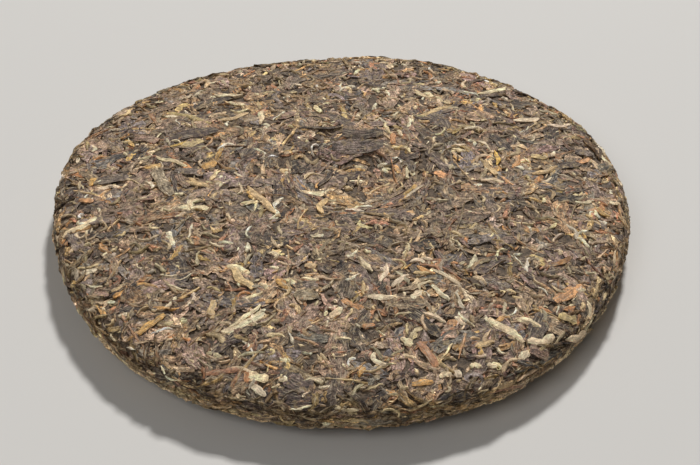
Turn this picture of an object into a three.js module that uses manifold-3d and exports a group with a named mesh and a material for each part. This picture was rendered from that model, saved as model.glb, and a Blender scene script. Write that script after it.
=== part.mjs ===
// A raw pu erh tea cake: steamed tea leaves pressed into a round cake. It lies on its flatter face,
// with the dimple that the knot of the pressing bag leaves on the upper one.
// Millimetres, +Z up. The origin is on the table, under the middle of the cake.
import * as THREE from "three";
import { mergeVertices } from "three/addons/utils/BufferGeometryUtils.js";
import Module from "manifold-3d";

// Driving dimensions of the pressed body, which the leaves then cover.
const rimRadius = 99.8; // middle of the rim, before the leaves that stand proud of it
const crownHeight = 21.8; // the upper face round the dimple
const shoulderHeight = 15.2; // where the upper face turns over into the rim
const footRadius = 62; // the flat area that the cake rests on
const dimple = { x: 4, y: 11.5, lipRadius: 32, floorRadius: 9, depth: 6 };

// Points of the section between the foot and the middle of the crown: how far in from the rim, and how high.
const sectionPoints = [
  { inset: 13, height: 1.9 },
  { inset: 3.6, height: 4.6 },
  { inset: 0.2, height: 8.5 },
  { inset: 0.4, height: 12.4 },
  { inset: 2.2, height: shoulderHeight },
  { inset: 8, height: shoulderHeight + 1.8 },
  { inset: 20, height: shoulderHeight + 3.5 },
  { inset: rimRadius / 2, height: crownHeight - 0.9 },
  { inset: rimRadius * 0.8, height: crownHeight },
];

// A hand-pressed cake is never quite round. Each lobe bulges by its share of the radius.
const outlineLobes = [
  { count: 2, share: 0.0054, towards: 173 },
  { count: 3, share: 0.0229, towards: 34 },
  { count: 4, share: 0.007, towards: 54 },
  { count: 5, share: 0.0065, towards: 10 },
];
// The broad hollows and swellings of the upper face: a wave's length, its height and its heading.
const faceWaves = [
  { length: 74, height: 0.5, heading: 20 },
  { length: 51, height: 0.4, heading: 96 },
  { length: 38, height: 0.3, heading: 151 },
];

const shoulderBlend = 4; // the swellings fade out over this height below the shoulder

// How finely the pressed body is divided.
const bodySides = 48;
const sectionSteps = 15;

// The leaves that stand out of the pressed body. Sizes are for the middle of each kind, its weight is
// how common it is, and its sides and rings say how finely it is divided.
const leafKinds = {
  openLeaf: {
    weight: 4,
    size: { length: 22, width: 6.6, thickness: 2.4 },
    lie: { lift: 0.1, tilt: 0.8, bend: 2.2 },
    sides: 6,
    rings: 3,
  },
  rolledLeaf: {
    weight: 5,
    size: { length: 19, width: 3.9, thickness: 2.6 },
    lie: { lift: 0.1, tilt: 0.5, bend: 3.2 },
    sides: 4,
    rings: 3,
  },
  bud: {
    weight: 3,
    size: { length: 12, width: 2.5, thickness: 1.9 },
    lie: { lift: 0.2, tilt: 0.3, bend: 1.4 },
    sides: 4,
    rings: 2,
  },
  stalk: {
    weight: 1,
    size: { length: 20, width: 1.9, thickness: 1.7 },
    lie: { lift: 0.25, tilt: 0.3, bend: 1.8 },
    sides: 4,
    rings: 3,
  },
};
const leafCount = 190;
const leafSpread = 0.3; // how far a leaf's size may differ from its kind's, as a share
const bluntness = 0.6; // under 1 makes the ends of a leaf blunter
const leafSeed = 357;
const footMargin = 4; // leaves start this far outside the foot
const rimOrder = 0.8; // how much the leaves of the rim keep to its direction, from 0 to 1
const goldenAngle = Math.PI * (3 - Math.sqrt(5));
const sectionSamples = 160;
const probe = 0.05; // the short step that slopes are measured over

const radians = THREE.MathUtils.degToRad;

// Repeatable random numbers from 0 to 1.
function seededRandom(seed) {
  let state = seed;
  return () => {
    state = (state + 0x6d2b79f5) | 0;
    let mixed = Math.imul(state ^ (state >>> 15), 1 | state);
    mixed = (mixed + Math.imul(mixed ^ (mixed >>> 7), 61 | mixed)) ^ mixed;
    return ((mixed ^ (mixed >>> 14)) >>> 0) / 4294967296;
  };
}

// How far the outline reaches in a direction, as a multiple of the rim's radius.
function outlineShare(angle) {
  return outlineLobes.reduce(
    (share, lobe) => share + lobe.share * Math.cos(lobe.count * (angle - radians(lobe.towards))),
    1,
  );
}

// How far the upper face drops at a place, into the dimple and between its broad swellings.
function faceDrop(x, y) {
  const fromDimple = Math.hypot(x - dimple.x, y - dimple.y);
  const sunk = 1 - THREE.MathUtils.smootherstep(fromDimple, dimple.floorRadius, dimple.lipRadius);
  return faceWaves.reduce((drop, wave) => {
    const along = x * Math.cos(radians(wave.heading)) + y * Math.sin(radians(wave.heading));
    return drop + (wave.height * (1 + Math.sin((2 * Math.PI * along) / wave.length))) / 2;
  }, dimple.depth * sunk);
}

// Half of the cake's section, from the edge of the foot round the rim to the top of the crown.
const section = new THREE.SplineCurve([
  new THREE.Vector2(footRadius, 0),
  ...sectionPoints.map(({ inset, height }) => new THREE.Vector2(rimRadius - inset, height)),
  new THREE.Vector2(0, crownHeight),
]);

// The point of the cake's skin for a point of the section, turned to an angle.
function skinPoint(radius, height, angle) {
  const bulge = 1 + (outlineShare(angle) - 1) * (radius / rimRadius) ** 2;
  const x = radius * bulge * Math.cos(angle);
  const y = radius * bulge * Math.sin(angle);
  const upper = THREE.MathUtils.smoothstep(height, shoulderHeight - shoulderBlend, shoulderHeight);
  return new THREE.Vector3(x, y, height - upper * faceDrop(x, y));
}

// The pressed body: the section turned about the cake's axis, with the uneven outline and the dimple.
function pressedBody() {
  const rings = [new THREE.Vector2(0, 0), ...section.getSpacedPoints(sectionSteps)];
  const body = new THREE.LatheGeometry(rings, bodySides);
  body.rotateX(Math.PI / 2);
  const places = body.getAttribute("position");
  for (let i = 0; i < places.count; i++) {
    const radius = Math.hypot(places.getX(i), places.getY(i));
    const angle = Math.atan2(places.getY(i), places.getX(i));
    const point = skinPoint(radius, places.getZ(i), angle);
    places.setXYZ(i, point.x, point.y, point.z);
  }
  return body;
}

// Evenly spaced places along the section, with the share of the skin's area that lies before each.
function measuredSection() {
  const places = section.getSpacedPoints(sectionSamples);
  let area = 0;
  const found = places.map((place, i) => {
    if (i > 0) area += place.distanceTo(places[i - 1]) * (place.x + places[i - 1].x);
    return { place, area };
  });
  return found.map(({ place, area: before }) => ({ place, share: before / area }));
}
const sectionTable = measuredSection();

// The skin's point at one of the section's places and an angle, with the way up the section and the
// outward normal there.
function skinFrame(index, angle) {
  const { place } = sectionTable[index];
  const next = sectionTable[Math.min(index + 1, sectionSamples)].place;
  const last = sectionTable[Math.max(index - 1, 0)].place;
  const point = skinPoint(place.x, place.y, angle);
  const upward = skinPoint(next.x, next.y, angle).sub(skinPoint(last.x, last.y, angle)).normalize();
  const turn = probe / Math.max(place.x, 1);
  const around = skinPoint(place.x, place.y, angle + turn).sub(point);
  return { point, upward, normal: around.cross(upward).normalize() };
}

// A point that lies close to the skin, dropped onto it, and then raised by a height.
function raisedFromSkin(point, height) {
  const angle = Math.atan2(point.y, point.x);
  const gaps = sectionTable.map(({ place }) => skinPoint(place.x, place.y, angle).distanceTo(point));
  const frame = skinFrame(gaps.indexOf(Math.min(...gaps)), angle);
  const above = point.clone().sub(frame.point).dot(frame.normal);
  return point.clone().addScaledVector(frame.normal, height - above);
}

// One pressed leaf, bent along its length and laid on the skin: its middle is at the frame's point.
function pressedLeaf(kind, frame, heading, random) {
  const eitherWay = () => 2 * random() - 1;
  const halfSize = (size) => (size * (1 + leafSpread * eitherWay())) / 2;
  const halfLength = halfSize(kind.size.length);
  const halfWidth = halfSize(kind.size.width);
  const halfThickness = halfSize(kind.size.thickness);
  const bend = kind.lie.bend * eitherWay();
  const endTilt = kind.lie.tilt * eitherWay();
  const sideTilt = kind.lie.tilt * eitherWay();
  const along = frame.upward.clone().applyAxisAngle(frame.normal, heading);
  const across = along.clone().cross(frame.normal);
  const leaf = new THREE.SphereGeometry(1, kind.sides, kind.rings);
  const places = leaf.getAttribute("position");
  for (let i = 0; i < places.count; i++) {
    const lengthwise = places.getY(i);
    const girth = Math.hypot(places.getX(i), places.getZ(i));
    const blunted = girth > 0 ? girth ** (bluntness - 1) : 0;
    const sideways = places.getX(i) * blunted;
    const up = places.getZ(i) * blunted;
    const onPlane = frame.point
      .clone()
      .addScaledVector(along, lengthwise * halfLength)
      .addScaledVector(across, sideways * halfWidth + bend * (1 - lengthwise ** 2));
    const rise = kind.lie.lift + up * halfThickness + lengthwise * endTilt + sideways * sideTilt;
    const placed = raisedFromSkin(onPlane, rise);
    places.setXYZ(i, placed.x, placed.y, placed.z);
  }
  return leaf;
}

// The kind of the next leaf, drawn by the kinds' weights.
function drawnKind(random) {
  const kinds = Object.values(leafKinds);
  let draw = random() * kinds.reduce((sum, kind) => sum + kind.weight, 0);
  return kinds.find((kind) => (draw -= kind.weight) < 0) ?? kinds[0];
}

// Leaves all over the skin outside the foot, each with an equal share of the area. Round the rim they
// lie flat, one on the other, so they run along it.
function coveringLeaves() {
  const random = seededRandom(leafSeed);
  const leaves = [];
  for (let i = 0; i < leafCount; i++) {
    const index = sectionTable.findIndex(({ share }) => share >= (i + 0.5) / leafCount);
    const frame = skinFrame(index, i * goldenAngle);
    const kind = drawnKind(random);
    const onRim = Math.hypot(frame.normal.x, frame.normal.y);
    const heading = Math.PI / 2 + Math.PI * (random() - 0.5) * (1 - rimOrder * onRim);
    const leaf = pressedLeaf(kind, frame, heading, random);
    const radius = Math.hypot(frame.point.x, frame.point.y);
    if (frame.point.z > shoulderHeight / 2 || radius > footRadius + footMargin) leaves.push(leaf);
  }
  return leaves;
}

const joinTolerance = 0.05; // edges shorter than this are closed up where leaves are joined
const wasm = await Module();
wasm.setup();

// A closed geometry as a solid that can be joined and cut.
function solidOf(geometry) {
  const bare = geometry.clone();
  bare.deleteAttribute("normal");
  bare.deleteAttribute("uv");
  const merged = mergeVertices(bare, 1e-4);
  return new wasm.Manifold(
    new wasm.Mesh({
      numProp: 3,
      vertProperties: merged.getAttribute("position").array,
      triVerts: new Uint32Array(merged.index.array),
      tolerance: joinTolerance,
    }),
  );
}

// The geometry of a solid.
function geometryOf(solid) {
  const mesh = solid.getMesh();
  const geometry = new THREE.BufferGeometry();
  geometry.setAttribute("position", new THREE.BufferAttribute(mesh.vertProperties, 3));
  geometry.setIndex(new THREE.BufferAttribute(mesh.triVerts, 1));
  geometry.computeVertexNormals();
  return geometry;
}

// The table, which the leaves of the lower face are pressed flat against.
function table() {
  const thickness = 10;
  const slab = new THREE.BoxGeometry(3 * rimRadius, 3 * rimRadius, thickness);
  return slab.translate(0, 0, -thickness / 2);
}

// The whole cake: body and leaves joined, with any hollow that the joining seals filled.
function teaCake() {
  const pressed = coveringLeaves().reduce((cake, leaf) => cake.add(solidOf(leaf)), solidOf(pressedBody()));
  const flat = pressed.subtract(solidOf(table()));
  const shells = solidOf(geometryOf(flat)).decompose();
  const [outer] = shells.sort((a, b) => b.volume() - a.volume());
  const geometry = geometryOf(outer);
  geometry.computeBoundingBox();
  const middle = geometry.boundingBox.getCenter(new THREE.Vector3());
  geometry.translate(-middle.x, -middle.y, 0);
  const material = new THREE.MeshStandardMaterial({ color: 0x8a7a66, roughness: 0.7, metalness: 0 });
  const cake = new THREE.Mesh(geometry, material);
  cake.name = "tea_cake";
  return cake;
}

const root = new THREE.Group();
root.add(teaCake());

export default root;
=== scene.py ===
# Raw pu erh tea cake, lying with its dimple up: a bed of pressed leaf, covered all over with single
# leaves, buds, stalks and crumbs. The dictionaries are in millimetres, and Blender's scene in metres.
import math

import bpy
import numpy as np
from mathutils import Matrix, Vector, noise


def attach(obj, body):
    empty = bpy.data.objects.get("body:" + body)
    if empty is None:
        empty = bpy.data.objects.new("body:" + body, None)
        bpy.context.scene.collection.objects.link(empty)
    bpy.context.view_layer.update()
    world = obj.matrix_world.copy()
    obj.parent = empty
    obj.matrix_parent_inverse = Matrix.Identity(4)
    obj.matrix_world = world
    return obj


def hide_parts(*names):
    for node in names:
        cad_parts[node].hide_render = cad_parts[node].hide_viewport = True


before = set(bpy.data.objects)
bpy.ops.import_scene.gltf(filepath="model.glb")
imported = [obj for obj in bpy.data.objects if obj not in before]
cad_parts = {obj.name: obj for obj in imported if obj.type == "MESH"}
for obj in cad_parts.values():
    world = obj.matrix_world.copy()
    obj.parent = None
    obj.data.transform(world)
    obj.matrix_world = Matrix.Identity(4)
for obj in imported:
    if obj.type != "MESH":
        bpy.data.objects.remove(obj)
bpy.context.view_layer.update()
bpy.ops.object.select_all(action="DESELECT")
mm = 0.001
fullTurn = 2 * math.pi
goldenAngle = math.pi * (3 - math.sqrt(5))

# The form of the pressed cake
cakeForm = {
    "rimRadius": 99.8,  # middle of the rim
    "crownHeight": 21.8,
    "shoulderHeight": 15.2,  # where the upper face turns over into the rim
    "shoulderBlend": 4.0,  # height over which the swellings of the face fade out below the shoulder
    "footRadius": 62.0,
    # points of the section from the foot round the rim to the crown: how far in from the rim, and how high
    "section": (
        (13, 1.9), (3.6, 4.6), (0.2, 8.5), (0.4, 12.4), (2.2, 15.2),
        (8, 17), (20, 18.7), (49.9, 20.9), (79.84, 21.8),
    ),
    "dimple": {"x": 4, "y": 11.5, "lipRadius": 32, "floorRadius": 9, "depth": 6},
    # lobes of the outline: count, share of the radius, heading
    "lobes": ((2, 0.0054, 173), (3, 0.0229, 34), (4, 0.007, 54), (5, 0.0065, 10)),
    "swellings": ((74, 0.5, 20), (51, 0.4, 96), (38, 0.3, 151)),  # of the face: length, height, heading
    "centre": (-0.28, -1.16),  # middle of the cake's box, which is put on the origin
    "pressedFoot": 1.1,  # what would reach below the table is squeezed into this height
}


def easeIn(value, low, high):
    share = np.clip((value - low) / (high - low), 0, 1)
    return share * share * (3 - 2 * share)


def outlineShare(angle):
    bulges = [share * np.cos(count * (angle - math.radians(way))) for count, share, way in cakeForm["lobes"]]
    return 1 + sum(bulges)


def faceDrop(x, y):
    dimple = cakeForm["dimple"]
    fromDimple = np.hypot(x - dimple["x"], y - dimple["y"])
    slope = (fromDimple - dimple["floorRadius"]) / (dimple["lipRadius"] - dimple["floorRadius"])
    slope = np.clip(slope, 0, 1)
    drop = dimple["depth"] * (1 - slope**3 * (slope * (6 * slope - 15) + 10))
    for length, height, way in cakeForm["swellings"]:
        along = x * math.cos(math.radians(way)) + y * math.sin(math.radians(way))
        drop = drop + height * (1 + np.sin(fullTurn * along / length)) / 2
    return drop


# Half of the section as a smooth curve, from the middle of the foot round the rim to the middle of the crown
def sectionCurve(stepsEach=24):
    rim = cakeForm["rimRadius"]
    corners = [(cakeForm["footRadius"], 0)] + [(rim - inset, height) for inset, height in cakeForm["section"]]
    corners = np.array(corners + [(0, cakeForm["crownHeight"])], float)
    last = len(corners) - 1
    curve = [np.zeros(2)]
    for i in range(last):
        start, end = corners[i], corners[i + 1]
        into = (end - corners[max(i - 1, 0)]) / 2
        out = (corners[min(i + 2, last)] - start) / 2
        for t in np.arange(stepsEach) / stepsEach:
            ends = start * (2 * t**3 - 3 * t**2 + 1) + end * (3 * t**2 - 2 * t**3)
            curve.append(ends + into * (t**3 - 2 * t**2 + t) + out * (t**3 - t**2))
    curve = np.array(curve + [corners[-1]])
    steps = np.hypot(*np.diff(curve, axis=0).T)
    return curve[:, 0], curve[:, 1], np.concatenate([[0], np.cumsum(steps)])


sectionRadius, sectionHeight, sectionLength = sectionCurve()
skinLength = sectionLength[-1]


# A chart is the skin laid flat: "upper" is measured out from the middle of the crown, "lower" from the foot's
def skinPoint(chart, u, v):
    outward = np.hypot(u, v)
    along = skinLength - outward if chart == "upper" else outward
    radius = np.interp(along, sectionLength, sectionRadius)
    height = np.interp(along, sectionLength, sectionHeight)
    angle = np.arctan2(v, u)
    bulge = 1 + (outlineShare(angle) - 1) * (radius / cakeForm["rimRadius"]) ** 2
    x, y = radius * bulge * np.cos(angle), radius * bulge * np.sin(angle)
    shoulder = cakeForm["shoulderHeight"]
    onFace = easeIn(height, shoulder - cakeForm["shoulderBlend"], shoulder)
    centre = cakeForm["centre"]
    return np.stack([x - centre[0], y - centre[1], height - onFace * faceDrop(x, y)], axis=-1)


def skinNormal(chart, u, v, step=0.4):
    right = skinPoint(chart, u + step, v) - skinPoint(chart, u - step, v)
    back = skinPoint(chart, u, v + step) - skinPoint(chart, u, v - step)
    normal = np.cross(right, back)
    return normal * (1 if chart == "upper" else -1) / np.linalg.norm(normal, axis=-1, keepdims=True)


# Places above the skin, in millimetres. Near the table they are squeezed, and never reach below it
def aboveSkin(chart, u, v, lift):
    place = skinPoint(chart, u, v) + skinNormal(chart, u, v) * lift[..., None]
    foot = cakeForm["pressedFoot"]
    squeezed = foot * np.exp(np.minimum(place[..., 2] - foot, 0) / foot)
    place[..., 2] = np.where(place[..., 2] < foot, squeezed, place[..., 2])
    return place


def rgb(colour, brightness=1.0):
    share = np.array(colour) / 255
    return np.where(share < 0.04045, share / 12.92, ((share + 0.055) / 1.055) ** 2.4) * brightness


# Places in the photograph, to put the pieces of leaf that stand out where they are seen
photoView = {
    "width": 700,
    "height": 465,
    "focal": 1500,  # in pixels
    "elevation": 38.4,
    "distance": 530,
    "aim": (3.1, 2.4),  # on the table, from the middle of the rim
    "sensor": 36,  # width of the camera's sensor
    "clip": (50, 20000),
}


def cameraPlace():
    lean = math.radians(photoView["elevation"])
    back = photoView["distance"] * math.cos(lean)
    aim = photoView["aim"]
    centre = cakeForm["centre"]
    return np.array([aim[0] - centre[0], aim[1] - centre[1] - back, photoView["distance"] * math.sin(lean)])


# The part of the upper chart that the camera sees: its places, and the pixels that they come out at
def seenSkin(rings=260, turns=720):
    outward = np.linspace(0, leafLay["chartReach"]["upper"], rings)[:, None]
    angle = np.linspace(0, fullTurn, turns)
    u, v = outward * np.cos(angle), outward * np.sin(angle)
    fromEye = skinPoint("upper", u, v) - cameraPlace()
    seen = (skinNormal("upper", u, v) * fromEye).sum(axis=-1) < 0
    lean = math.radians(photoView["elevation"])
    depth = fromEye @ (0, math.cos(lean), -math.sin(lean))
    raised = fromEye @ (0, math.sin(lean), math.cos(lean))
    pixelX = photoView["width"] / 2 + photoView["focal"] * fromEye[..., 0] / depth
    pixelY = photoView["height"] / 2 - photoView["focal"] * raised / depth
    return np.stack([u[seen], v[seen]], axis=1), np.stack([pixelX[seen], pixelY[seen]], axis=1)


# Kinds of leaf: sizes are ranges that each leaf draws its own from, and tints are (colour, weight)
# rings, across: points along and across a leaf; ends: how wide it is at its ends, as a share
# edge: thickness left at its sides; folds, twist: their heights; bend: spread of its bend in radians
# drape: how closely it follows what it lies on; layer: how late it is laid; lift: how high
# edgeHighlight: how much paler its sides are painted, a painted highlight where its folded edges catch the
# light; rimPaintedShade: share of its brightness that is left on the rim, painted shade of the rim that turns
# away from the light
leafKinds = {
    "slateLeaves": {
        "count": {"upper": 700, "lower": 570},
        "length": (7, 19), "width": (2.6, 6.4), "thickness": (0.2, 0.4),
        "rings": 8, "across": 6, "ends": (0.3, 0.9), "edge": 0.8, "folds": 0.16, "twist": 0.15, "bend": 0.3,
        "drape": 0.8, "lift": (-0.25, 0.15), "layer": 0.08, "edgeHighlight": 0.15, "rimPaintedShade": 0.6,
        "tints": (((122, 107, 97), 4), ((106, 93, 84), 3), ((138, 120, 103), 4), ((130, 111, 101), 3),
                  ((113, 108, 105), 3), ((152, 132, 110), 3), ((83, 72, 64), 3), ((148, 122, 91), 2)),
    },
    "oliveLeaves": {
        "count": {"upper": 1200, "lower": 960},
        "length": (4, 14), "width": (0.9, 2.5), "thickness": (0.25, 0.5),
        "rings": 7, "across": 4, "ends": (0.25, 0.8), "edge": 0.5, "folds": 0.16, "twist": 0.3, "bend": 0.7,
        "drape": 0.65, "lift": (-0.42, 0.14), "layer": 0.12, "edgeHighlight": 0.18, "rimPaintedShade": 0.58,
        "tints": (((141, 121, 99), 5), ((115, 98, 81), 4), ((165, 143, 119), 4), ((90, 76, 62), 3),
                  ((189, 168, 140), 3), ((124, 116, 109), 2), ((168, 141, 102), 2)),
    },
    "brownLeaves": {
        "count": {"upper": 1150, "lower": 880},
        "length": (3, 11), "width": (0.9, 2.5), "thickness": (0.25, 0.5),
        "rings": 7, "across": 4, "ends": (0.3, 0.85), "edge": 0.5, "folds": 0.18, "twist": 0.3, "bend": 0.7,
        "drape": 0.65, "lift": (-0.42, 0.14), "layer": 0.12, "edgeHighlight": 0.18, "rimPaintedShade": 0.55,
        "tints": (((134, 110, 91), 5), ((107, 87, 73), 4), ((77, 62, 51), 3), ((157, 130, 106), 4),
                  ((150, 109, 84), 3), ((132, 109, 97), 3)),
    },
    "creamBuds": {
        "count": {"upper": 1000, "lower": 380},
        "length": (2.5, 9), "width": (0.7, 1.7), "thickness": (0.5, 0.9),
        "rings": 7, "across": 4, "ends": (0.25, 0.6), "edge": 0.35, "folds": 0.08, "twist": 0.1, "bend": 0.8,
        "drape": 0.3, "lift": (-0.35, 0.25), "layer": 0.38, "edgeHighlight": 0.08, "rimPaintedShade": 0.92,
        "tints": (((224, 204, 168), 5), ((202, 180, 144), 5), ((234, 217, 186), 3), ((186, 162, 127), 4)),
    },
    "goldenLeaves": {
        "count": {"upper": 300, "lower": 150},
        "length": (3, 9), "width": (1.0, 2.4), "thickness": (0.35, 0.6),
        "rings": 7, "across": 4, "ends": (0.3, 0.8), "edge": 0.45, "folds": 0.14, "twist": 0.2, "bend": 0.5,
        "drape": 0.5, "lift": (-0.35, 0.15), "layer": 0.36, "edgeHighlight": 0.12, "rimPaintedShade": 0.8,
        "tints": (((190, 148, 94), 4), ((170, 122, 80), 4), ((200, 170, 114), 3), ((180, 148, 90), 3)),
    },
    "leafStalks": {
        "count": {"upper": 240, "lower": 130},
        "length": (6, 18), "width": (0.6, 1.2), "thickness": (0.5, 0.8),
        "rings": 7, "across": 4, "ends": (0.6, 0.9), "edge": 0.25, "folds": 0.02, "twist": 0.04, "bend": 0.25,
        "drape": 0.2, "lift": (-0.4, 0.05), "layer": 0.35, "edgeHighlight": 0.06, "rimPaintedShade": 0.8,
        "tints": (((138, 102, 74), 4), ((160, 124, 88), 4), ((110, 80, 60), 2), ((190, 162, 120), 4)),
    },
    "rimLeaves": {
        "count": {"upper": 900, "lower": 480},
        "length": (4, 13), "width": (1.0, 2.6), "thickness": (0.35, 0.8),
        "rings": 7, "across": 4, "ends": (0.25, 0.8), "edge": 0.6, "folds": 0.2, "twist": 0.5, "bend": 0.4,
        "drape": 0.3, "lift": (-0.4, 0.5), "layer": 0.2, "edgeHighlight": 0.15, "rimPaintedShade": 0.62,
        "tints": (((128, 108, 79), 5), ((102, 83, 61), 5), ((162, 138, 98), 4), ((80, 64, 48), 3),
                  ((200, 178, 134), 3)),
    },
    "leafCrumbs": {
        "count": {"upper": 4100, "lower": 700},
        "length": (0.8, 3.2), "width": (0.4, 1.2), "thickness": (0.3, 0.6),
        "rings": 3, "across": 4, "ends": (0.4, 0.8), "edge": 0.5, "folds": 0.05, "twist": 0.1, "bend": 0.3,
        "drape": 0.0, "lift": (-0.3, 0.2), "layer": 0.5, "edgeHighlight": 0.1, "rimPaintedShade": 0.75,
        "tints": (((122, 100, 78), 4), ((80, 64, 50), 4), ((172, 148, 114), 4), ((216, 195, 158), 4),
                  ((156, 114, 78), 2)),
    },
}
leafLay = {
    "seed": {"upper": 479, "lower": 470},
    "chartReach": {"upper": 114, "lower": 104},
    "rimFrom": {"upper": 95, "lower": 81},  # the leaves turn along the rim over the next millimetres
    "rimOver": 7,
    "rimOrder": 0.75,  # how much the leaves of the rim keep to its direction
    "wallOrder": 0.6,  # and those on the wall of the dimple to the wall's
    "wallSpread": 9,
    "rimNarrow": 0.3,  # share of the width that the leaves of the rim lose
    "jitter": 0.6,  # of a leaf's place, as a share of the spacing of its kind
    "pressed": (0.46, 0.72),  # share of the height below a leaf that is left once it is pressed on: face, rim
    "bedDepth": 0.7,  # the leaves are laid from this far under the skin
    "cell": 0.4,  # of the map of heights
    "margin": 20,  # of that map, beyond the chart
    "cellPoints": 1.3,  # how many points of a leaf mark each cell
    "fewestPoints": 4,
}
leafShape = {
    "waves": (2.3, 5.1),  # of what wobbles along a leaf
    "square": (1.7, 5),  # range of how late a leaf narrows towards its ends
    "taper": 0.75,
    "uneven": 0.2,  # of the width along the leaf
    "ragged": 0.2,  # of the width from ring to ring
    "skew": 0.1,  # between its two sides
    "sag": 0.55,  # share of the thickness that the ends lose
    "foldsAcross": (0.7, 1.6),
    "foldsAlong": (-0.8, 0.8),
    "crumple": 0.1,
    "underside": 0.7,  # how far the hidden side of a leaf reaches below its edge
    "underAt": (0.25, 0.75),  # where its two rows of points are, across the leaf
    "runReach": 400,  # each leaf shows its own place of a grain that reaches this far
    "runUnit": 10,  # millimetres of the leaf to one unit of that grain
    "smoothAngle": 48,
}
leafTone = {
    "brightness": (0.5, 1.5),
    "hues": (0.035, 0.025, 0.07),  # how far the red, green and blue of a leaf vary
    # painted highlight along the lower edge of the rim, pale leaves put where that edge catches the light:
    # the heights where it sets in and where it ends, and how far from the middle of the front it is as strong
    # as elsewhere, and the share left there
    "lipHighlight": {"from": (2, 4.5), "to": (7.5, 12), "aside": (20, 60), "middle": 0.35, "tint": (228, 208, 170)},
    "palest": 0.92,
    "mottle": 0.18,
    "oneEnd": 0.16,  # how much paler one end of a leaf may be than its middle
    # the hidden side of a leaf is painted darker: painted shade under its edge
    "under": 0.45,  # brightness of the hidden side
    "patches": {"size": 26, "share": 0.3, "slice": 5},  # darker and paler patches of the cake
}


def drawn(rng, span):
    return span[0] + (span[1] - span[0]) * rng.random()


def wobble(rng, t, strength):
    slow, quick = [np.sin(wave * t + fullTurn * rng.random()) for wave in leafShape["waves"]]
    return strength * (slow + quick) / 2


# Weights that spread a row of points over a finer row
def between(count, size):
    fine = max(leafLay["fewestPoints"], int(size * leafLay["cellPoints"] / leafLay["cell"]))
    places = np.linspace(0, count - 1, fine)
    low = np.minimum(places.astype(int), count - 2)
    weights = np.zeros((fine, count))
    weights[np.arange(fine), low] = 1 - (places - low)
    weights[np.arange(fine), low + 1] = places - low
    return weights


# Weights that smooth a row of points
def smoothing(count):
    weights = np.eye(count) / 2
    for i in range(count):
        weights[i, max(i - 1, 0)] += 0.25
        weights[i, min(i + 1, count - 1)] += 0.25
    return weights @ weights


for kind in leafKinds.values():
    kind["t"] = np.linspace(-1, 1, kind["rings"])
    kind["w"] = np.sin(np.linspace(-0.5, 0.5, kind["across"]) * math.pi)
    kind["smooth"] = smoothing(kind["rings"])
    kind["fineAlong"] = between(kind["rings"], kind["length"][1])
    kind["fineAcross"] = between(kind["across"], kind["width"][1])


def rimShare(chart, u, v):
    start = leafLay["rimFrom"][chart]
    return float(easeIn(math.hypot(u, v), start, start + leafLay["rimOver"]))


# Where the rings of a leaf run: their points, and how far each is to the side of its middle
def leafOutline(kind, length, width, heading, rough, rng, own):
    t, w = kind["t"], kind["w"]
    bend = own["bend"] if "bend" in own else rng.normal(0, kind["bend"])
    turn = heading + bend * t + wobble(rng, t, kind["bend"] / 2)
    step = length / (kind["rings"] - 1)
    along = np.stack([np.cumsum(np.cos(turn)), np.cumsum(np.sin(turn))])[..., None] * step
    narrow = drawn(rng, kind["ends"])
    square = drawn(rng, leafShape["square"])
    body = narrow + (1 - narrow) * (1 - np.abs(t) ** square) ** leafShape["taper"]
    uneven = 1 + wobble(rng, t, leafShape["uneven"] * rough)
    uneven = uneven + rng.normal(0, leafShape["ragged"] * rough, len(t))
    skewed = (width * wobble(rng, t, leafShape["skew"]) * body)[:, None] * np.abs(w)
    side = (width / 2 * body * uneven)[:, None] * w + skewed
    across = np.stack([-np.sin(turn)[:, None] * side, np.cos(turn)[:, None] * side])
    return along - along.mean(axis=1, keepdims=True) + across, side


# How far a leaf stands above what it lies on: crowned, folded, twisted and crumpled
def leafCrown(kind, thickness, rough, rng):
    t, w = kind["t"][:, None], kind["w"]
    crown = thickness * (kind["edge"] + (1 - kind["edge"]) * (1 - w**2)) * (1 - leafShape["sag"] * t**4)
    ripple = drawn(rng, leafShape["foldsAcross"]) * w + drawn(rng, leafShape["foldsAlong"]) * t
    crown = crown + kind["folds"] * np.sin(math.pi * ripple + fullTurn * rng.random())
    crown = crown + rough * kind["twist"] * wobble(rng, t, 1) * w
    return crown + rng.normal(0, leafShape["crumple"] * rough, crown.shape)


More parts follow.
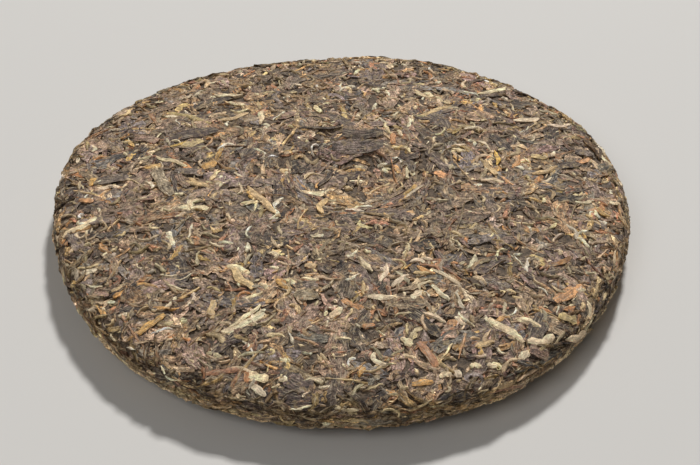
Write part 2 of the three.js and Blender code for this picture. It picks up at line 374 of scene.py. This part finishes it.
# One leaf laid on what is already there: its rings of points as (u, v, height), its run and its colours.
# Own values of a marked piece take the place of drawn ones
def layLeaf(kind, field, u, v, rng, own):
    chart = field["chart"]
    heading = own["heading"] if own else leafHeading(chart, u, v, rng)
    onRim = rimShare(chart, u, v)
    length = own.get("length") or drawn(rng, kind["length"])
    width = own.get("width") or drawn(rng, kind["width"]) * (1 - leafLay["rimNarrow"] * onRim)
    thickness = own.get("thickness") or drawn(rng, kind["thickness"])
    rough = own.get("rough", 1)
    outline, side = leafOutline(kind, length, width, heading, rough, rng, own)
    leafU, leafV = outline + np.array([u, v])[:, None, None]
    below = heightsAt(field, leafU, leafV)
    resting = kind["drape"] * below + (1 - kind["drape"]) * below.mean(axis=1, keepdims=True)
    onFace, overRim = leafLay["pressed"]
    resting = (onFace + (overRim - onFace) * onRim) * (kind["smooth"] @ resting)
    top = resting + leafCrown(kind, thickness, rough, rng) + drawn(rng, kind["lift"]) + own.get("lift", 0)
    raiseField(field, *[kind["fineAlong"] @ part @ kind["fineAcross"].T for part in (leafU, leafV, top)])
    foot = np.minimum(top[:, 0], top[:, -1])[:, None] - thickness - leafShape["underside"]
    under = np.array(leafShape["underAt"])
    lowU = leafU[:, -1:] * (1 - under) + leafU[:, :1] * under
    lowV = leafV[:, -1:] * (1 - under) + leafV[:, :1] * under
    rings = [np.hstack([leafU, lowU]), np.hstack([leafV, lowV]), np.hstack([top, foot, foot])]
    acrossRun = np.hstack([side, side[:, -1:] / 2, side[:, :1] / 2])
    alongRun = np.broadcast_to((kind["t"] * length / 2)[:, None], acrossRun.shape)
    reach = leafShape["runReach"]
    run = np.stack([acrossRun, alongRun], axis=-1) + rng.uniform(-reach, reach, 2)
    return np.stack(rings, axis=-1), run, leafColours(kind, chart, u, v, rough, rng, own)


def leafColours(kind, chart, u, v, rough, rng, own):
    t, w = kind["t"][:, None], kind["w"]
    onRim = rimShare(chart, u, v)
    tint = own["tint"] if "tint" in own else pickTint(kind, rng)
    patches = leafTone["patches"]
    patch = 1 + patches["share"] * noise.noise(Vector((u, v, patches["slice"])) / patches["size"])
    # the sides of a leaf are painted paler, a painted highlight on its folded edges; one end may be paler at
    # random
    paler = 1 + kind["edgeHighlight"] * np.abs(w) ** 3 + leafTone["oneEnd"] * drawn(rng, (-1, 1)) * t
    x, _, height = skinPoint(chart, u, v)
    # pale leaves painted along the lower edge of the rim: a painted highlight where that edge catches the
    # light, weaker at the middle of the front
    lipLight = leafTone["lipHighlight"]
    lipHighlight = onRim * easeIn(height, *lipLight["from"]) * (1 - easeIn(height, *lipLight["to"])) * rng.random() ** 0.5
    lipHighlight = lipHighlight * (lipLight["middle"] + (1 - lipLight["middle"]) * easeIn(abs(x), *lipLight["aside"]))
    # the rim is painted darker, painted shade where it turns away from the light, lifted where the painted
    # highlight of its lower edge lies
    rimPaintedShade = 1 - (1 - kind["rimPaintedShade"]) * onRim * (1 - lipHighlight)
    paler = (paler + rng.normal(0, leafTone["mottle"], paler.shape)) * rimPaintedShade
    # the hidden side under each leaf's edge gets painted shade
    shade = np.hstack([paler, np.full((len(t), len(leafShape["underAt"])), leafTone["under"])])
    glow = own.get("brightness") or patch * drawn(rng, leafTone["brightness"])
    hue = 1 + rng.normal(0, leafTone["hues"]) * rough
    colour = (rgb(tint, glow) * (1 - lipHighlight) + rgb(lipLight["tint"]) * lipHighlight) * hue * shade[..., None]
    return np.clip(colour, 0, leafTone["palest"])


def pickTint(kind, rng):
    colours, weights = zip(*kind["tints"])
    return colours[rng.choice(len(colours), p=np.array(weights) / sum(weights))]


# A map of how high the leaves already lie above a chart
def newField(chart):
    reach = leafLay["chartReach"][chart] + leafLay["margin"]
    cells = int(2 * reach / leafLay["cell"])
    return {"chart": chart, "reach": reach, "heights": np.zeros((cells, cells))}


def cellsOf(field, u, v):
    last = len(field["heights"]) - 1
    return [np.clip(((place + field["reach"]) / leafLay["cell"]).astype(int), 0, last) for place in (v, u)]


def heightsAt(field, u, v):
    row, column = cellsOf(field, u, v)
    return field["heights"][row, column]


def raiseField(field, u, v, height):
    row, column = cellsOf(field, u, v)
    field["heights"][row, column] = np.maximum(field["heights"][row, column], height)


# Places for a chart's leaves, evenly spread, in the order they are laid in
def leafPlaces(chart, rng):
    places = []
    reach = leafLay["chartReach"][chart]
    for number, (name, kind) in enumerate(leafKinds.items()):
        count = kind["count"][chart]
        inner = leafLay["rimFrom"][chart] + 1 if name == "rimLeaves" else 0
        for i in range(count):
            outward = math.sqrt(inner**2 + (reach**2 - inner**2) * (i + 0.5) / count)
            angle = i * goldenAngle + number
            spacing = leafLay["jitter"] * math.sqrt(math.pi * (reach**2 - inner**2) / count)
            u = outward * math.cos(angle) + spacing * drawn(rng, (-1, 1))
            v = outward * math.sin(angle) + spacing * drawn(rng, (-1, 1))
            places.append((kind["layer"] + rng.random(), name, u, v, {}))
    return sorted(places + (markedPlaces() if chart == "upper" else []), key=lambda place: place[0])


# Tints of the marked pieces, and the kind of leaf that each is laid as
markedTints = {
    "cream": ("creamBuds", (238, 214, 174)),
    "pale": ("creamBuds", (224, 204, 172)),
    "tan": ("creamBuds", (206, 178, 134)),
    "gold": ("goldenLeaves", (198, 156, 92)),
    "orange": ("goldenLeaves", (206, 156, 110)),
    "green": ("goldenLeaves", (178, 158, 112)),
    "rust": ("leafStalks", (156, 114, 82)),
    "grey": ("slateLeaves", (148, 136, 114)),
    "mauve": ("slateLeaves", (134, 111, 98)),
    "slate": ("slateLeaves", (112, 102, 95)),
    "dark": ("slateLeaves", (82, 71, 64)),
}
markedLook = {"thickness": 0.6, "lift": 0.3, "rough": 0.5, "brightness": 1.05}
markedLayer = {"slateLeaves": 0.95, "goldenLeaves": 1.2, "leafStalks": 1.2, "creamBuds": 1.25}

# Pieces that stand out in the photograph: tint, both ends in its pixels, width in millimetres and bend
markedLeaves = [
    # front left
    ("cream", (223, 333), (267, 309), 3.0, 0.1), ("cream", (229, 327), (262, 305), 1.6, -0.1),
    ("tan", (211, 318), (213, 299), 2.6, 0), ("cream", (250, 371), (267, 381), 3.2, 0.35),
    ("pale", (253, 385), (265, 396), 2.6, 0.2), ("gold", (138, 333), (165, 314), 2.2, 0.2),
    ("rust", (206, 374), (243, 369), 1.9, 0.1), ("rust", (231, 389), (243, 368), 1.4, -0.3),
    ("pale", (62, 237), (99, 216), 2.6, 0.3), ("pale", (80, 274), (98, 267), 2.2, 0.2),
    # front middle
    ("cream", (226, 266), (251, 271), 2.6, -0.3), ("tan", (232, 268), (252, 290), 2.6, 0.1),
    ("cream", (300, 278), (319, 279), 1.3, 0.1), ("pale", (368, 297), (394, 296), 2.4, 0.1),
    ("pale", (372, 351), (384, 368), 1.8, 0.9), ("cream", (244, 298), (264, 292), 1.6, 0.2),
    ("slate", (295, 286), (318, 284), 3.6, 0.1), ("grey", (294, 293), (319, 295), 5, 0.2),
    ("gold", (275, 279), (291, 289), 2.2, 0.1), ("dark", (321, 265), (332, 272), 3.4, 0.8),
    ("tan", (306, 262), (316, 267), 2.6, 0.4), ("orange", (342, 300), (364, 307), 2.2, 0.1),
    ("cream", (330, 317), (341, 307), 2.4, 0), ("tan", (363, 281), (364, 295), 1.3, 0),
    ("pale", (382, 281), (387, 262), 1.7, 0.2), ("pale", (391, 285), (409, 274), 1.7, -0.4),
    ("pale", (409, 261), (426, 260), 1.6, -0.9), ("tan", (414, 272), (430, 272), 1.6, 0.1),
    ("pale", (414, 299), (421, 289), 2.6, -0.6),
    # front right
    ("orange", (556, 300), (584, 285), 4.6, 0.2), ("cream", (488, 317), (524, 342), 2.7, -0.1),
    ("cream", (516, 318), (543, 325), 2.1, -0.6), ("cream", (527, 344), (555, 338), 2.9, 0.3),
    ("pale", (434, 268), (462, 286), 1.6, 0), ("cream", (403, 337), (412, 346), 2.4, 0.2),
    ("pale", (422, 313), (447, 321), 1.5, -0.5), ("orange", (448, 320), (457, 323), 2.6, 0.2),
    ("cream", (454, 317), (466, 324), 1.7, -0.2), ("cream", (471, 365), (482, 365), 1.9, 0),
    ("cream", (486, 365), (497, 365), 1.9, 0.1), ("cream", (439, 376), (451, 373), 2, 0.1),
    ("rust", (419, 341), (437, 366), 2.6, -0.1), ("mauve", (531, 345), (549, 355), 5, 0.1),
    ("pale", (521, 359), (529, 350), 2.6, 0), ("green", (559, 315), (576, 321), 3.4, 0.2),
    ("tan", (475, 345), (494, 343), 1.8, 0.1), ("gold", (411, 384), (433, 381), 2.4, 0.1),
    ("pale", (455, 371), (460, 377), 2.4, 0), ("tan", (497, 388), (515, 382), 3, 0.2),
    ("tan", (547, 370), (570, 350), 2.2, 0.1), ("pale", (568, 341), (585, 333), 2.6, 0.1),
    ("rust", (609, 283), (619, 262), 1.8, 0),
    # back right
    ("cream", (479, 94), (507, 87), 2.1, 0.2), ("tan", (419, 114), (452, 105), 2, 0.2),
    ("cream", (510, 103), (515, 111), 1, 0), ("pale", (514, 121), (540, 118), 2.6, 0.1),
    ("pale", (547, 125), (573, 125), 1.5, 0.5), ("cream", (452, 149), (466, 150), 1.7, -0.2),
    ("pale", (453, 145), (467, 144), 1.5, 0.2), ("pale", (464, 128), (484, 129), 1.3, -0.6),
    ("orange", (436, 170), (445, 177), 2.8, 0.2), ("tan", (486, 159), (494, 175), 2.2, 0.4),
    ("orange", (513, 167), (521, 155), 2, 0.2), ("orange", (501, 176), (513, 185), 1.5, 0.1),
    ("green", (531, 155), (547, 158), 2.8, 0.2), ("tan", (531, 173), (560, 168), 2, 0.5),
    ("orange", (575, 162), (591, 158), 2.1, 0.3), ("dark", (560, 167), (580, 163), 4.4, 0.1),
    ("slate", (575, 151), (593, 155), 2.8, 0), ("dark", (494, 134), (509, 151), 5, 0.2),
    ("cream", (609, 201), (621, 204), 2.2, 0), ("cream", (398, 130), (402, 136), 1.4, 0),
    # back left
    ("cream", (214, 96), (244, 94), 2, 0.1), ("cream", (227, 103), (245, 104), 1.8, 0),
    ("green", (166, 112), (213, 121), 2.2, -0.1), ("tan", (218, 120), (250, 113), 2, 0.2),
    ("dark", (170, 137), (218, 130), 5.4, -0.1), ("mauve", (136, 137), (157, 142), 3.8, 0.1),
    ("green", (181, 146), (204, 140), 3.4, 0), ("gold", (203, 168), (216, 160), 3.4, 0.4),
    ("gold", (217, 159), (222, 142), 1.7, 0.1), ("cream", (156, 156), (187, 166), 1.7, -0.2),
    ("slate", (175, 170), (204, 172), 3.4, 0), ("grey", (157, 168), (170, 196), 4.4, 0.2),
    ("dark", (173, 170), (176, 195), 1.8, 0.2), ("mauve", (177, 174), (187, 187), 3, 0.3),
    ("tan", (188, 177), (208, 187), 2, 0.2), ("pale", (97, 186), (121, 186), 2, 0.1),
    ("gold", (89, 186), (95, 177), 1.9, 0), ("orange", (79, 200), (93, 200), 2.4, 0),
    ("mauve", (137, 200), (161, 195), 2.8, 0.2), ("slate", (97, 180), (129, 178), 4.2, 0.1),
    ("rust", (149, 110), (157, 122), 2.2, 0.1), ("cream", (177, 206), (208, 208), 3.0, 0.1),
    # middle; the two dark pieces along the far lip of the dimple are painted shade on the wall that faces
    # away from the light, and the dark swirl on its right wall is partly a real swirl and partly painted
    # shade of that wall
    ("dark", (342, 133), (383, 133), 3.6, 0.1), ("dark", (299, 128), (342, 127), 1.6, 0.1),
    ("slate", (332, 144), (383, 144), 5, 0.1), ("orange", (393, 133), (393, 143), 2, 0),
    ("dark", (398, 152), (420, 158), 2.8, 1.3), ("slate", (401, 163), (417, 169), 2.6, -1.2),
    ("dark", (319, 186), (334, 170), 1.8, 0.2), ("cream", (259, 124), (263, 111), 2, 0.1),
    ("cream", (313, 106), (322, 112), 2, 0), ("cream", (425, 92), (433, 96), 2, 0),
    ("tan", (246, 186), (278, 213), 2.3, 0.2), ("tan", (326, 198), (319, 213), 2.3, 0.1),
    ("cream", (300, 190), (330, 191), 2.8, 0.1),
]


# The marked pieces: when they are laid, their kind, middle and heading, and what else is their own
def markedPlaces():
    marked = []
    places, pixels = seenSkin()
    for tint, *ends, width, bend in markedLeaves:
        start, end = [places[np.argmin(((pixels - pixel) ** 2).sum(axis=1))] for pixel in ends]
        name, colour = markedTints[tint]
        own = {"length": math.dist(start, end), "width": width, "bend": bend, "tint": colour, **markedLook}
        own["heading"] = math.atan2(*reversed(end - start))
        marked.append((markedLayer[name], name, *(start + end) / 2, own))
    return marked


# The leaves run along the rim and round the wall of the dimple, and every way elsewhere
def leafHeading(chart, u, v, rng):
    x, y, _ = skinPoint(chart, np.array(u), np.array(v)) + [*cakeForm["centre"], 0]
    dimple = cakeForm["dimple"]
    fromDimple = math.hypot(x - dimple["x"], y - dimple["y"])
    middle = (dimple["lipRadius"] + dimple["floorRadius"]) / 2
    onWall = math.exp(-(((fromDimple - middle) / leafLay["wallSpread"]) ** 2)) if chart == "upper" else 0
    onRim = rimShare(chart, u, v)
    centre = (dimple["x"], dimple["y"]) if onWall > onRim else (0, 0)
    order = max(leafLay["wallOrder"] * onWall, leafLay["rimOrder"] * onRim)
    return math.atan2(y - centre[1], x - centre[0]) + math.pi * (0.5 + (rng.random() - 0.5) * (1 - order))


def layAllLeaves():
    laid = {name: [] for name in leafKinds}
    for chart in ("upper", "lower"):
        rng = np.random.default_rng(leafLay["seed"][chart])
        field = newField(chart)
        for _, name, u, v, own in leafPlaces(chart, rng):
            laid[name].append((chart, *layLeaf(leafKinds[name], field, u, v, rng, own)))
    return laid


# Faces of one leaf: the quads round its rings and over its two ends
def leafFaces(rings, around):
    faces = []
    for i in range(rings - 1):
        for j in range(around):
            k = (j + 1) % around
            faces.append((i * around + j, (i + 1) * around + j, (i + 1) * around + k, i * around + k))
    for k in range(around // 2 - 1):
        first = (k, k + 1, around - 2 - k, around - 1 - k)
        faces.append(first)
        faces.append(tuple(reversed([(rings - 1) * around + corner for corner in first])))
    return np.array(faces)


# A mesh of many leaves. Its map holds their run, and its colours are theirs
def joinedPiece(name, points, faces, run, tints):
    mesh = bpy.data.meshes.new(name)
    mesh.vertices.add(len(points))
    mesh.vertices.foreach_set("co", (points * mm).ravel())
    mesh.loops.add(faces.size)
    mesh.loops.foreach_set("vertex_index", faces.ravel())
    mesh.polygons.add(len(faces))
    mesh.polygons.foreach_set("loop_start", np.arange(0, faces.size, 4))
    mesh.update(calc_edges=True)
    runMap = mesh.uv_layers.new(name="leafRun")
    runMap.data.foreach_set("uv", (run[faces.ravel()] / leafShape["runUnit"]).ravel())
    colours = mesh.color_attributes.new("leafTint", "FLOAT_COLOR", "POINT")
    colours.data.foreach_set("color", np.hstack([tints, np.ones((len(tints), 1))]).ravel())
    piece = bpy.data.objects.new(name, mesh)
    bpy.context.collection.objects.link(piece)
    bpy.ops.object.select_all(action="DESELECT")
    piece.select_set(True)
    bpy.context.view_layer.objects.active = piece
    bpy.ops.object.shade_smooth_by_angle(angle=math.radians(leafShape["smoothAngle"]))
    return piece


def makeLeafPieces():
    pieces = {}
    for name, leaves in layAllLeaves().items():
        kind = leafKinds[name]
        around = kind["across"] + 2
        template = leafFaces(kind["rings"], around)
        size = kind["rings"] * around
        points, faces, runs, tints = [], [], [], []
        for number, (chart, rings, run, tint) in enumerate(leaves):
            rings = rings.reshape(-1, 3)
            points.append(aboveSkin(chart, rings[:, 0], rings[:, 1], rings[:, 2] - leafLay["bedDepth"]))
            faces.append((template if chart == "upper" else template[:, ::-1]) + number * size)
            runs.append(run.reshape(-1, 2))
            tints.append(tint.reshape(-1, 3))
        joined = [np.concatenate(parts) for parts in (points, faces, runs, tints)]
        pieces[name] = joinedPiece(name, *joined)
        print("laid", len(leaves), name, "with", 2 * len(joined[1]), "triangles")
    return pieces


leafBed = {
    "sides": 240,
    "sectionSteps": 100,
    "inset": 0.95,  # under the skin
    "crumple": ((0.9, 0.55), (2.6, 0.5), (6.0, 0.35)),  # size and height of each layer of crumpling
    "merge": 0.02,  # points nearer than this are made one
    "smoothAngle": 50,
}


# The bed: half of the section is extruded point by point, spun round the cake's axis and crumpled
def makeLeafBed():
    steps = np.linspace(0, skinLength, leafBed["sectionSteps"])
    bpy.ops.mesh.primitive_plane_add(size=mm)
    bed = bpy.context.object
    bed.name = bed.data.name = "leafBed"
    bpy.ops.object.mode_set(mode="EDIT")
    bpy.ops.mesh.merge(type="CENTER")
    reached = np.zeros(3)
    for along in steps[1:]:
        radius = np.interp(along, sectionLength, sectionRadius)
        height = np.interp(along, sectionLength, sectionHeight)
        target = np.array([radius, 0, height])
        bpy.ops.mesh.extrude_region_move(TRANSFORM_OT_translate={"value": tuple((target - reached) * mm)})
        reached = target
    bpy.ops.mesh.select_all(action="SELECT")
    bpy.ops.mesh.spin(steps=leafBed["sides"], angle=fullTurn, center=(0, 0, 0), axis=(0, 0, 1))
    bpy.ops.mesh.select_all(action="SELECT")
    bpy.ops.mesh.remove_doubles(threshold=leafBed["merge"] * mm)
    bpy.ops.mesh.normals_make_consistent(inside=False)
    bpy.ops.object.mode_set(mode="OBJECT")
    crumpleBed(bed)
    bpy.ops.object.shade_smooth_by_angle(angle=math.radians(leafBed["smoothAngle"]))
    return bed


def crumpleBed(bed):
    corners = np.empty(len(bed.data.vertices) * 3)
    bed.data.vertices.foreach_get("co", corners)
    corners = corners.reshape(-1, 3) / mm
    radius, angle = np.hypot(corners[:, 0], corners[:, 1]), np.arctan2(corners[:, 1], corners[:, 0])
    gaps = (radius[:, None] - sectionRadius) ** 2 + (corners[:, 2][:, None] - sectionHeight) ** 2
    along = sectionLength[np.argmin(gaps, axis=1)]
    u, v = np.cos(angle), np.sin(angle)
    lift = np.full(len(corners), -leafBed["inset"])
    for size, height in leafBed["crumple"]:
        lift += height * np.array([noise.noise(Vector(corner) / size) for corner in corners])
    onFoot = along < skinLength / 2
    upper = aboveSkin("upper", (skinLength - along) * u, (skinLength - along) * v, lift)
    lower = aboveSkin("lower", along * u, along * v, lift)
    placed = np.where(onFoot[:, None], lower, upper) * mm
    bed.data.vertices.foreach_set("co", placed.ravel())
    bed.data.update()


# Grain that the leaves share: streaks and pale hairs along the leaf, blotches, and painted shade in the
# crumples and fine speckle, which also make the bump, with painted glints on the speckle's tops.
# shade: brightness from the low to the high of a pattern; over: the part of it where a second tint sets in
leafGrain = {
    "streak": {"scale": 19, "detail": 7, "stretch": 0.2, "shade": (0.1, 1.9)},
    "hair": {"scale": 19, "detail": 4, "stretch": 0.1, "share": 0.7, "over": (0.54, 0.64),
             "tint": (208, 191, 162)},
    "blotch": {"scale": 330, "detail": 3, "shade": (0.3, 1.7)},
    "gilt": {"scale": 430, "detail": 5, "share": 0.85, "over": (0.53, 0.64), "tint": (186, 160, 118)},
    # crumple and speck darken the colour where the bump lies low: painted shade in the creases; the speck's
    # pale tops are painted glints
    "crumple": {"scale": 820, "detail": 5, "shade": (0.3, 1.7)},
    "speck": {"scale": 2400, "detail": 2, "shade": (0.5, 1.5)},
    "paintedBounceWarmth": 1.18,  # painted warm bounce light: how much warmer the low end of every pattern is, in the painted crease shade and the other darker parts
    "roughness": 0.68,  # how strong the fine parts of a pattern are
    "steepest": (0.35, 0.65),  # the range of a pattern that its shade is spread over
    "gloss": (0.38, 0.8),
    "speckHeight": 0.15,
}


def makeLeafGrain():
    group = bpy.data.node_groups.new("leafGrain", "ShaderNodeTree")
    inward = {"Tint": "Color", "Along": "Vector", "Streaks": "Float", "Blotches": "Float", "Creaseshade": "Float"}
    for name, kind in inward.items():
        group.interface.new_socket(name=name, in_out="INPUT", socket_type="NodeSocket" + kind)
    for name, kind in {"Colour": "Color", "Height": "Float", "Gloss": "Float"}.items():
        group.interface.new_socket(name=name, in_out="OUTPUT", socket_type="NodeSocket" + kind)
    nodes, links = group.nodes, group.links
    inputs, outputs = nodes.new("NodeGroupInput").outputs, nodes.new("NodeGroupOutput").inputs
    pattern = {name: runNoise(group, inputs["Along"], leafGrain[name]) for name in ("streak", "hair")}
    for name in ("blotch", "gilt", "crumple", "speck"):
        pattern[name] = placeNoise(group, leafGrain[name])
    colour = inputs["Tint"]
    effects = (("crumple", "Creaseshade"), ("speck", "Creaseshade"), ("streak", "Streaks"), ("blotch", "Blotches"))
    for name, effect in effects:
        shade = shaded(group, pattern[name], *leafGrain[name]["shade"])
        colour = mixed(group, "MULTIPLY", inputs[effect], colour, shade)
    gilded = nodes.new("ShaderNodeMath")
    gilded.operation = "MULTIPLY"
    gilt, hair = leafGrain["gilt"], leafGrain["hair"]
    links.new(spread(group, pattern["gilt"], 0, gilt["share"], *gilt["over"]), gilded.inputs[0])
    links.new(inputs["Blotches"], gilded.inputs[1])
    colour = mixed(group, "MIX", gilded.outputs["Value"], colour, (*rgb(gilt["tint"]), 1))
    haired = spread(group, pattern["hair"], 0, hair["share"], *hair["over"])
    links.new(mixed(group, "MIX", haired, colour, (*rgb(hair["tint"]), 1)), outputs["Colour"])
    folded = mixed(group, "MIX", 0.5, pattern["streak"], pattern["crumple"])
    links.new(mixed(group, "MIX", leafGrain["speckHeight"], folded, pattern["speck"]), outputs["Height"])
    links.new(spread(group, pattern["blotch"], *leafGrain["gloss"]), outputs["Gloss"])
    return group


def runNoise(tree, along, look):
    stretch = tree.nodes.new("ShaderNodeMapping")
    stretch.inputs["Scale"].default_value = (1, look["stretch"], 1)
    tree.links.new(along, stretch.inputs["Vector"])
    return noiseOver(tree, stretch.outputs["Vector"], look)


def placeNoise(tree, look):
    return noiseOver(tree, tree.nodes.new("ShaderNodeTexCoord").outputs["Object"], look)


def noiseOver(tree, vector, look):
    node = tree.nodes.new("ShaderNodeTexNoise")
    node.inputs["Scale"].default_value = look["scale"]
    node.inputs["Detail"].default_value = look["detail"]
    node.inputs["Roughness"].default_value = leafGrain["roughness"]
    tree.links.new(vector, node.inputs["Vector"])
    return node.outputs["Fac"]


# A noise value's middle range, spread from a low to a high value
def spread(tree, socket, low, high, start=0.3, end=0.7):
    node = tree.nodes.new("ShaderNodeMapRange")
    for name, value in (("From Min", start), ("From Max", end), ("To Min", low), ("To Max", high)):
        node.inputs[name].default_value = value
    tree.links.new(socket, node.inputs["Value"])
    return node.outputs["Result"]


# The same as a colour, whose low end is warmer: painted warm bounce light in the darker parts
def shaded(tree, socket, low, high):
    warm = leafGrain["paintedBounceWarmth"]
    share = spread(tree, socket, 0, 1, *leafGrain["steepest"])
    return mixed(tree, "MIX", share, (low * warm, low, low / warm, 1), (high, high, high, 1))


# Two colours mixed by a factor. Each of the three is a socket or a constant
def mixed(tree, blend, factor, first, second):
    node = tree.nodes.new("ShaderNodeMix")
    node.data_type = "RGBA"
    node.blend_type = blend
    colours = [socket for socket in node.inputs if socket.type == "RGBA"]
    for socket, value in zip((node.inputs["Factor"], *colours), (factor, first, second)):
        if isinstance(value, bpy.types.NodeSocket):
            tree.links.new(value, socket)
        else:
            socket.default_value = value
    return next(socket for socket in node.outputs if socket.type == "RGBA")


leafFinishes = {
    "slateLeaves": {"streaks": 0.95, "blotches": 0.7, "creaseshade": 1.0, "relief": 1.1, "specular": 0.42},
    "oliveLeaves": {"streaks": 0.95, "blotches": 0.65, "creaseshade": 1.0, "relief": 1.0, "specular": 0.36},
    "brownLeaves": {"streaks": 0.95, "blotches": 0.7, "creaseshade": 1.0, "relief": 1.0, "specular": 0.36},
    "creamBuds": {"streaks": 0.4, "blotches": 0.35, "creaseshade": 0.45, "relief": 0.7, "specular": 0.3},
    "goldenLeaves": {"streaks": 0.55, "blotches": 0.4, "creaseshade": 0.6, "relief": 0.7, "specular": 0.4},
    "leafStalks": {"streaks": 0.6, "blotches": 0.45, "creaseshade": 0.5, "relief": 0.5, "specular": 0.45},
    "rimLeaves": {"streaks": 0.95, "blotches": 0.7, "creaseshade": 1.0, "relief": 1.0, "specular": 0.3},
    "leafCrumbs": {"streaks": 0.5, "blotches": 0.55, "creaseshade": 0.7, "relief": 0.6, "specular": 0.4},
}


def newMaterial(name, values):
    material = bpy.data.materials.new(name)
    material.use_nodes = True
    shader = material.node_tree.nodes["Principled BSDF"]
    for socket, value in values.items():
        shader.inputs[socket].default_value = value
    return material, material.node_tree, shader


def addRelief(tree, height, relief, shader):
    bump = tree.nodes.new("ShaderNodeBump")
    bump.inputs["Distance"].default_value = relief * mm
    tree.links.new(height, bump.inputs["Height"])
    tree.links.new(bump.outputs["Normal"], shader.inputs["Normal"])


def leafMaterial(name, grain):
    finish = leafFinishes[name]
    material, tree, shader = newMaterial(name, {"Specular IOR Level": finish["specular"]})
    nodes, links = tree.nodes, tree.links
    group = nodes.new("ShaderNodeGroup")
    group.node_tree = grain
    for effect in ("streaks", "blotches", "creaseshade"):
        group.inputs[effect.capitalize()].default_value = finish[effect]
    tint = nodes.new("ShaderNodeAttribute")
    tint.attribute_name = "leafTint"
    along = nodes.new("ShaderNodeUVMap")
    along.uv_map = "leafRun"
    links.new(tint.outputs["Color"], group.inputs["Tint"])
    links.new(along.outputs["UV"], group.inputs["Along"])
    links.new(group.outputs["Colour"], shader.inputs["Base Color"])
    links.new(group.outputs["Gloss"], shader.inputs["Roughness"])
    addRelief(tree, group.outputs["Height"], finish["relief"], shader)
    return material


bedFinish = {
    "tints": ((0.35, (54, 44, 36)), (0.7, (134, 114, 92))),  # from which value of the crumb's pattern
    "relief": 0.9,
    "roughness": 0.8,
    "crumb": {"scale": 620, "detail": 4},
}


def bedMaterial():
    material, tree, shader = newMaterial("leafBed", {"Roughness": bedFinish["roughness"]})
    crumb = placeNoise(tree, bedFinish["crumb"])
    ramp = tree.nodes.new("ShaderNodeValToRGB")
    for stop, (position, tint) in zip(ramp.color_ramp.elements, bedFinish["tints"]):
        stop.position = position
        stop.color = (*rgb(tint), 1)
    tree.links.new(crumb, ramp.inputs["Fac"])
    tree.links.new(ramp.outputs["Color"], shader.inputs["Base Color"])
    addRelief(tree, crumb, bedFinish["relief"], shader)
    return material


stage = {
    "floor": 6000,
    "floorTint": (214, 211, 206),
    "floorRoughness": 0.85,
    "world": 0.1,
    # place, size, strength in watts
    "lights": {"key": ((520, 2030, 2460), 400, 89), "fill": ((-600, -900, 1200), 900, 6)},
}


def makeStage():
    bpy.ops.mesh.primitive_plane_add(size=stage["floor"] * mm)
    floor = bpy.context.object
    floor.name = "floor"
    look = {"Base Color": (*rgb(stage["floorTint"]), 1), "Roughness": stage["floorRoughness"]}
    floor.data.materials.append(newMaterial("floor", look)[0])
    world = bpy.data.worlds.new("studio")
    world.use_nodes = True
    sky = world.node_tree.nodes["Background"]
    sky.inputs["Color"].default_value = (1, 1, 1, 1)
    sky.inputs["Strength"].default_value = stage["world"]
    bpy.context.scene.world = world
    for name, (place, size, watts) in stage["lights"].items():
        bpy.ops.object.light_add(type="AREA", location=[part * mm for part in place])
        light = bpy.context.object
        light.name = name
        light.data.size = size * mm
        light.data.energy = watts
        light.rotation_euler = (-Vector(place)).to_track_quat("-Z", "Y").to_euler()
    bpy.context.scene.view_settings.view_transform = "Standard"


def makeCamera():
    bpy.ops.object.camera_add(location=cameraPlace() * mm)
    camera = bpy.context.object
    camera.rotation_euler = (math.radians(90 - photoView["elevation"]), 0, 0)
    camera.data.sensor_width = photoView["sensor"]
    camera.data.lens = photoView["sensor"] * photoView["focal"] / photoView["width"]
    camera.data.clip_start, camera.data.clip_end = [reach * mm for reach in photoView["clip"]]
    bpy.context.scene.camera = camera


makeCamera()
makeStage()
print("stage set")
bed = makeLeafBed()
bed.data.materials.append(bedMaterial())
print("bed pressed, with", len(bed.data.polygons), "faces")
grain = makeLeafGrain()
pieces = makeLeafPieces()
for name, piece in pieces.items():
    piece.data.materials.append(leafMaterial(name, grain))
# Every piece hangs from the root body, and the model's part tea_cake is hidden
for piece in [bed, *pieces.values()]:
    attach(piece, "root")
    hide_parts("tea_cake")
bpy.context.view_layer.update()
print("cake finished")
